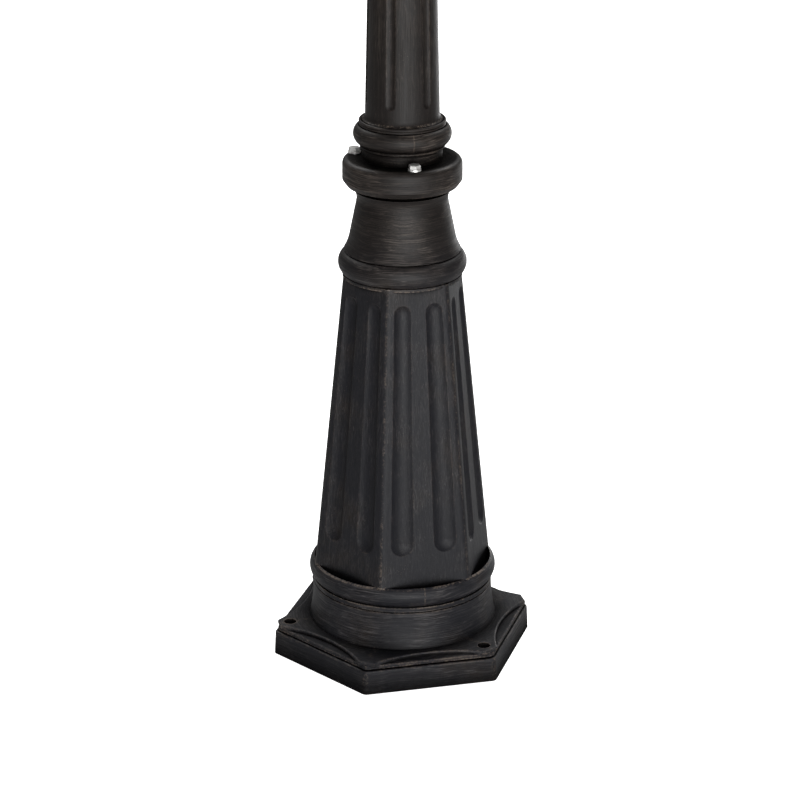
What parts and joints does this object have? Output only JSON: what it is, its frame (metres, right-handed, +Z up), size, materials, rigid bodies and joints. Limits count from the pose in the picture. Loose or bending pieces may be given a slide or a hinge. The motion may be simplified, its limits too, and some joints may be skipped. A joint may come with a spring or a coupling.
{
  "type": "garden lamp post",
  "caption": "Garden lamp post: hexagonal plinth, fluted tapered column, bolted collar, slim fluted shaft and a glazed lantern with a hinged roof.",
  "frame": {"origin": "on the ground at the post's axis", "axes": "+Z up along the post, +X through a corner of the plinth, +Y towards the lantern's hinge"},
  "size_m": [0.26, 0.2268, 1.8025],
  "materials": {
    "antique_paint": "satin black-brown antique paint, rubbed on the edges",
    "zinc_steel": "bright zinc plate",
    "brass": "turned brass, slightly dull",
    "cap_metal": "rolled bright aluminium",
    "pane_glass": "clear flat glass",
    "bulb_glass": "clear blown glass",
    "filament": "yellow coated filament on a glass stem",
    "black_rubber": "matt black rubber",
    "white_holder": "glazed white",
    "terminal_plastic": "matt pale plastic"
  },
  "bodies": {
    "post": {"cable_grommet": "black_rubber", "cage_hinge_leaf": "antique_paint", "cage_screws": "zinc_steel", "centre_contact": "brass", "collar_flange": "antique_paint", "column_bolts": "zinc_steel", "column_casting": "antique_paint", "column_washers": "zinc_steel", "earth_nuts": "brass", "earth_stud": "brass", "fitter_screws": "brass", "flange_bolts": "zinc_steel", "flange_washers": "zinc_steel", "glass_pane_1": "pane_glass", "glass_pane_2": "pane_glass", "glass_pane_3": "pane_glass", "glass_pane_4": "pane_glass", "glass_pane_5": "pane_glass", "glass_pane_6": "pane_glass", "hinge_pin": "zinc_steel", "lamp_holder": "white_holder", "lamp_nipple": "zinc_steel", "lantern_cage": "antique_paint", "lantern_cup": "antique_paint", "lantern_tray": "antique_paint", "nipple_nut": "zinc_steel", "pane_clips": "zinc_steel", "plinth_casting": "antique_paint", "post_foot": "antique_paint", "post_shaft": "antique_paint", "shaft_capital": "antique_paint", "socket_shell": "brass", "terminal_block": "terminal_plastic"},
    "roof": {"lantern_roof": "antique_paint", "vent_crown": "antique_paint", "vent_cap": "antique_paint", "finial": "antique_paint", "roof_hinge_leaf": "antique_paint"},
    "thumb_screw": {"thumb_screw": "brass"},
    "bulb": {"bulb_cap": "cap_metal", "bulb_glass": "bulb_glass", "bulb_filament": "filament"}
  },
  "joints": [
    {"name": "roof_hinge", "type": "hinge", "parent": "post", "child": "roof", "pos_m": [0, 0.10916, 1.62145], "axis": [-1, 0, 0], "range_deg": [0, 100]},
    {"name": "thumb_screw_turn", "type": "hinge", "parent": "roof", "child": "thumb_screw", "pos_m": [0, -0.09766, 1.61845], "axis": [0, 0, 1], "continuous": true},
    {"name": "bulb_turn", "type": "hinge", "parent": "post", "child": "bulb", "pos_m": [0, 0, 1.43], "axis": [0, 0, 1], "range_deg": [0, 900]}
  ]
}
